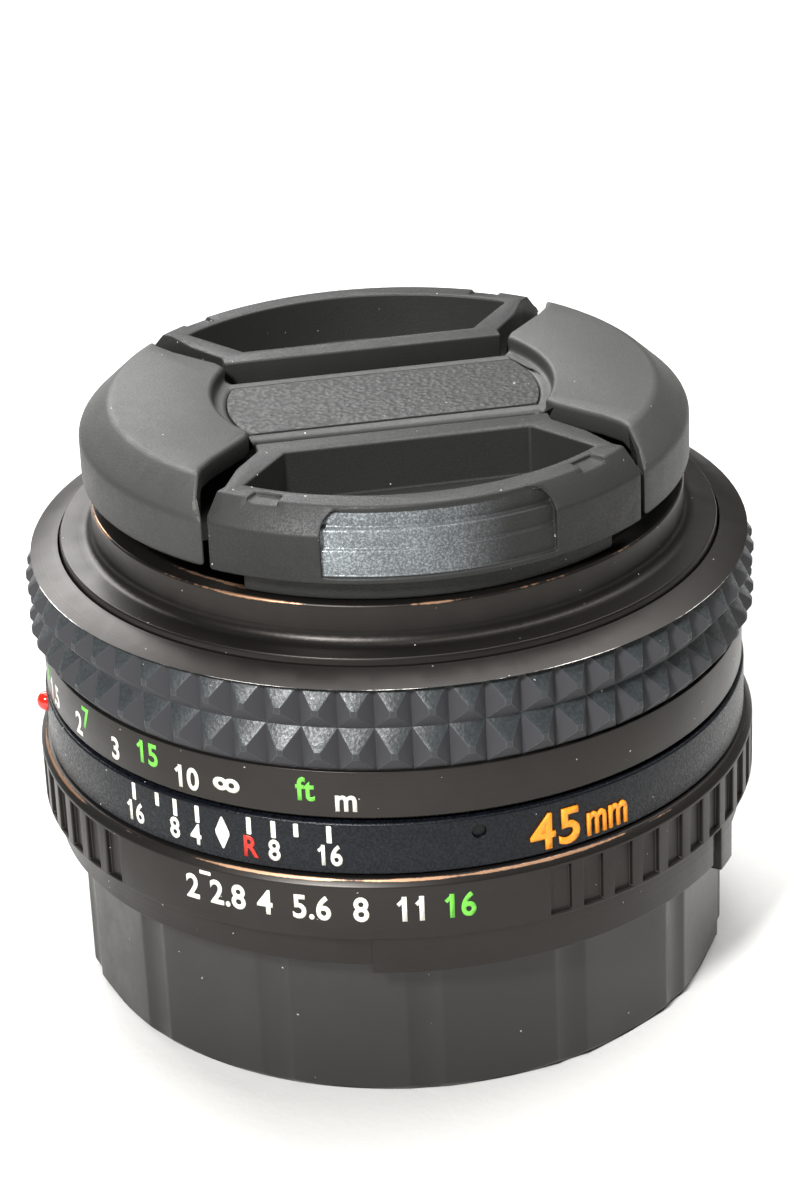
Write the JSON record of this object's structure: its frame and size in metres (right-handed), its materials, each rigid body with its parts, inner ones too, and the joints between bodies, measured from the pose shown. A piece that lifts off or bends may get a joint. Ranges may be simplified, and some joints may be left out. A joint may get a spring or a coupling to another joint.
{
  "type": "prime camera lens",
  "caption": "Compact manual-focus prime lens with turning focus and aperture rings, a working iris, a pinch front cap and a push-on rear cap.",
  "frame": {"origin": "centre of the rear cap's foot, on the optical axis, so the lens stands on its rear cap", "axes": "+Z along the optical axis towards the front; -Y through the index mark on the scale ring; +X to the right as the index faces the viewer"},
  "size_m": [0.064, 0.064, 0.0535],
  "materials": {
    "black_alloy": "satin",
    "ring_black": "satin",
    "gloss_black": "gloss",
    "grip_rubber": "matte",
    "cap_plastic": "textured",
    "label_plastic": "textured",
    "rear_cap_plastic": "matte",
    "mount_chrome": "satin",
    "brass": "satin",
    "steel": "satin",
    "iris_steel": "matte",
    "optical_glass": "polished",
    "bead_red": "gloss"
  },
  "bodies": {
    "barrel": {"main_barrel": "black_alloy", "bayonet_mount": "mount_chrome", "mount_screws": "steel", "rear_shroud": "black_alloy", "click_ball": "steel", "click_spring": "steel", "guide_keys": "brass", "scale_ring": "gloss_black", "scale_ring_screws": "steel", "index_bead": "bead_red", "lever_retaining_ring": "steel"},
    "focus": {"focus_ring": "black_alloy", "rubber_grip": "grip_rubber", "focus_helicoid": "brass", "focus_guide_screws": "steel", "helicoid_screws": "steel"},
    "optics": {"inner_helicoid": "black_alloy", "filter_ring": "black_alloy", "filter_ring_screws": "steel", "name_ring": "black_alloy", "front_cell": "black_alloy", "front_retaining_ring": "black_alloy", "front_spacer": "black_alloy", "rear_cell": "black_alloy", "rear_spacer": "black_alloy", "rear_retaining_ring": "black_alloy", "iris_base_plate": "iris_steel", "element_1": "optical_glass", "element_2": "optical_glass", "element_3": "optical_glass", "element_4": "optical_glass", "element_5": "optical_glass", "element_6": "optical_glass"},
    "aperture": {"aperture_ring": "ring_black"},
    "lever": {"stop_down_lever": "steel"},
    "iris": {"iris_drive_ring": "iris_steel"},
    "iris_blade_1": {"blade_1": "iris_steel"},
    "iris_blade_2": {"blade_2": "iris_steel"},
    "iris_blade_3": {"blade_3": "iris_steel"},
    "iris_blade_4": {"blade_4": "iris_steel"},
    "iris_blade_5": {"blade_5": "iris_steel"},
    "iris_blade_6": {"blade_6": "iris_steel"},
    "front_cap": {"cap_body": "cap_plastic", "cap_label": "label_plastic", "cap_back_plate": "cap_plastic", "cap_springs": "steel"},
    "front_tab": {"cap_tab_front": "cap_plastic"},
    "rear_tab": {"cap_tab_rear": "cap_plastic"},
    "back_cap": {"rear_cap": "rear_cap_plastic"}
  },
  "joints": [
    {"name": "focus_turn", "type": "hinge", "parent": "barrel", "child": "focus", "pos_m": [0, 0, 0.034], "axis": [0, 0, 1], "range_deg": [0, 125.1]},
    {"name": "front_travel", "type": "slide", "parent": "barrel", "child": "optics", "axis": [0, 0, 1], "range_m": [0, 0.004]},
    {"name": "aperture_turn", "type": "hinge", "parent": "barrel", "child": "aperture", "pos_m": [0, 0, 0.019], "axis": [0, 0, 1], "range_deg": [-35.5, 6.1]},
    {"name": "lever_turn", "type": "hinge", "parent": "barrel", "child": "lever", "pos_m": [0, 0, 0.019], "axis": [0, 0, 1], "range_deg": [-21.4, 3.7]},
    {"name": "iris_turn", "type": "hinge", "parent": "optics", "child": "iris", "pos_m": [0, 0, 0.028], "axis": [0, 0, 1], "range_deg": [-21.4, 3.7]},
    {"name": "blade_swing_1", "type": "hinge", "parent": "optics", "child": "iris_blade_1", "pos_m": [0.0146, 0, 0.0275], "axis": [0, 0, 1], "range_deg": [-4.8, 27.4]},
    {"name": "blade_swing_2", "type": "hinge", "parent": "optics", "child": "iris_blade_2", "pos_m": [0.0073, 0.01264, 0.0275], "axis": [0, 0, 1], "range_deg": [-4.8, 27.4]},
    {"name": "blade_swing_3", "type": "hinge", "parent": "optics", "child": "iris_blade_3", "pos_m": [-0.0073, 0.01264, 0.0275], "axis": [0, 0, 1], "range_deg": [-4.8, 27.4]},
    {"name": "blade_swing_4", "type": "hinge", "parent": "optics", "child": "iris_blade_4", "pos_m": [-0.0146, 0, 0.0275], "axis": [0, 0, 1], "range_deg": [-4.8, 27.4]},
    {"name": "blade_swing_5", "type": "hinge", "parent": "optics", "child": "iris_blade_5", "pos_m": [-0.0073, -0.01264, 0.0275], "axis": [0, 0, 1], "range_deg": [-4.8, 27.4]},
    {"name": "blade_swing_6", "type": "hinge", "parent": "optics", "child": "iris_blade_6", "pos_m": [0.0073, -0.01264, 0.0275], "axis": [0, 0, 1], "range_deg": [-4.8, 27.4]},
    {"name": "front_cap_lift", "type": "slide", "parent": "optics", "child": "front_cap", "axis": [0, 0, 1], "range_m": [0, 0.03]},
    {"name": "front_tab_squeeze", "type": "slide", "parent": "front_cap", "child": "front_tab", "axis": [-0.6129, 0.7902, 0], "range_m": [0, 0.0015], "stiffness_N_per_m": 600, "springref_m": -0.001, "deforming": ["cap_springs"]},
    {"name": "rear_tab_squeeze", "type": "slide", "parent": "front_cap", "child": "rear_tab", "axis": [0.6129, -0.7902, 0], "range_m": [0, 0.0015], "stiffness_N_per_m": 600, "springref_m": -0.001, "deforming": ["cap_springs"]},
    {"name": "rear_cap_pull", "type": "slide", "parent": "barrel", "child": "back_cap", "axis": [0, 0, -1], "range_m": [0, 0.03]}
  ],
  "couplings": [
    {"joint": "focus_turn", "follows": "front_travel", "rad_per_m": 545.42},
    {"joint": "lever_turn", "follows": "aperture_turn", "ratio": 0.6},
    {"joint": "iris_turn", "follows": "aperture_turn", "ratio": 0.6},
    {"joint": "blade_swing_1", "follows": "aperture_turn", "ratio": -0.76923},
    {"joint": "blade_swing_2", "follows": "aperture_turn", "ratio": -0.76923},
    {"joint": "blade_swing_3", "follows": "aperture_turn", "ratio": -0.76923},
    {"joint": "blade_swing_4", "follows": "aperture_turn", "ratio": -0.76923},
    {"joint": "blade_swing_5", "follows": "aperture_turn", "ratio": -0.76923},
    {"joint": "blade_swing_6", "follows": "aperture_turn", "ratio": -0.76923}
  ]
}
